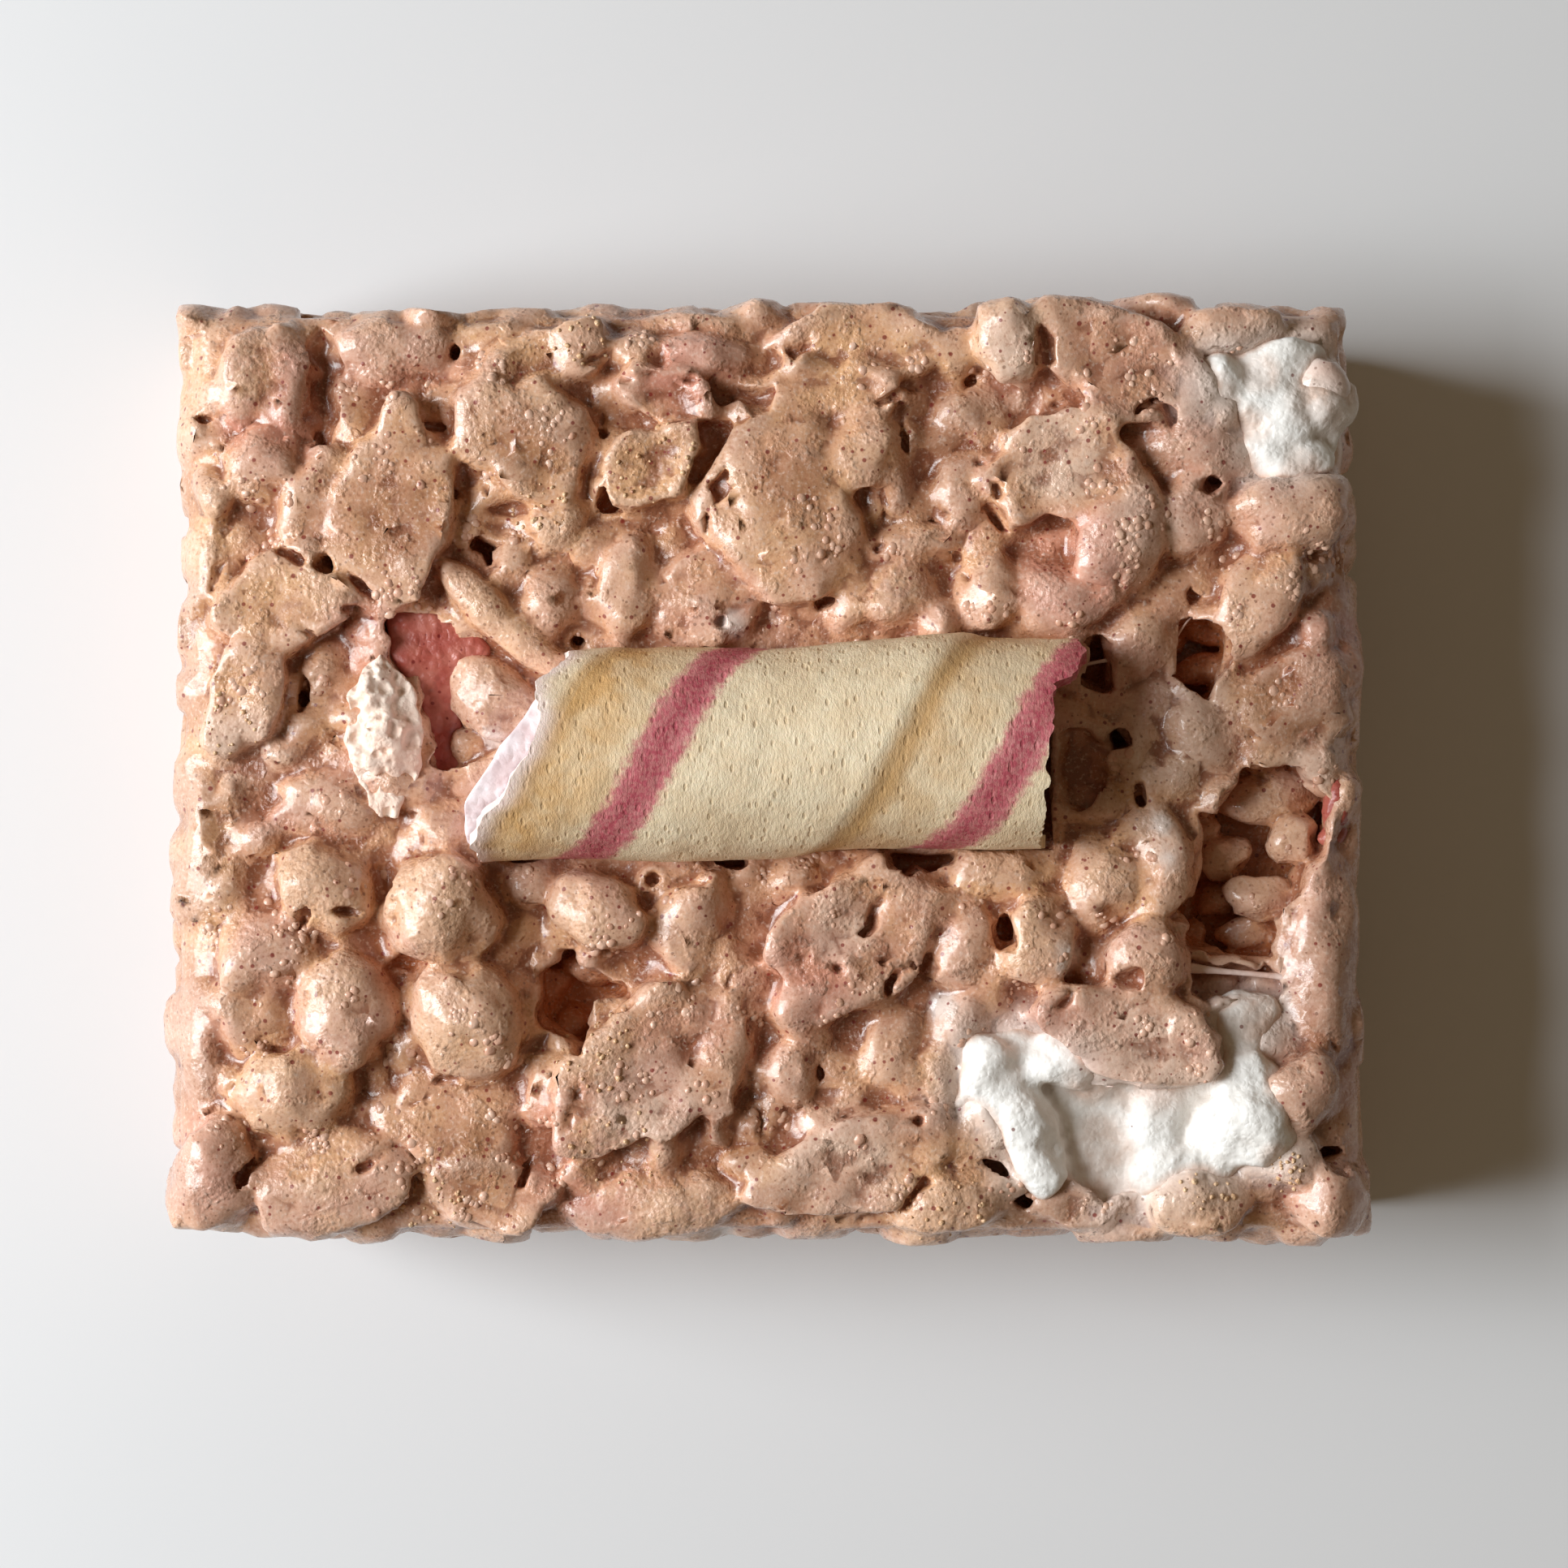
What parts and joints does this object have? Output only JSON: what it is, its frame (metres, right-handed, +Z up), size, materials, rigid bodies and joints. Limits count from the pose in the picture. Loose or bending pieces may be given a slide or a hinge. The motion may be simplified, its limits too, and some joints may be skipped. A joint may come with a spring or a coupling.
{
  "type": "rice crispy treat",
  "caption": "Rectangular puffed-rice and cereal-flake bar bound in pink marshmallow glaze, with white marshmallow patches, dried strawberry and a striped, cream-filled rolled wafer on top.",
  "frame": {"origin": "on the flat underside, at the middle of the bar's outline", "axes": "+X along the bar's long side and along the wafer roll, +Y across the bar towards its far long side, +Z up out of the wafer-topped face"},
  "size_m": [0.1011, 0.0784, 0.036],
  "materials": {
    "glazed_cereal": "sticky pink-tan marshmallow glaze over toasted puffed rice, with dark red specks",
    "baked_wafer": "dry baked wafer with fine pores and a pink stripe",
    "cream": "soft pale mauve filling",
    "marshmallow": "white, slightly grainy marshmallow",
    "strawberry": "dried strawberry under a thin glaze",
    "crumb": "pale porous crumb"
  },
  "bodies": {
    "root": {"cereal_block": "glazed_cereal", "wafer_roll": "baked_wafer", "roll_cream": "cream", "marshmallow_front": "marshmallow", "marshmallow_back": "marshmallow", "berry_piece": "strawberry", "berry_bit_side": "strawberry", "pale_crumb": "crumb"}
  },
  "joints": []
}
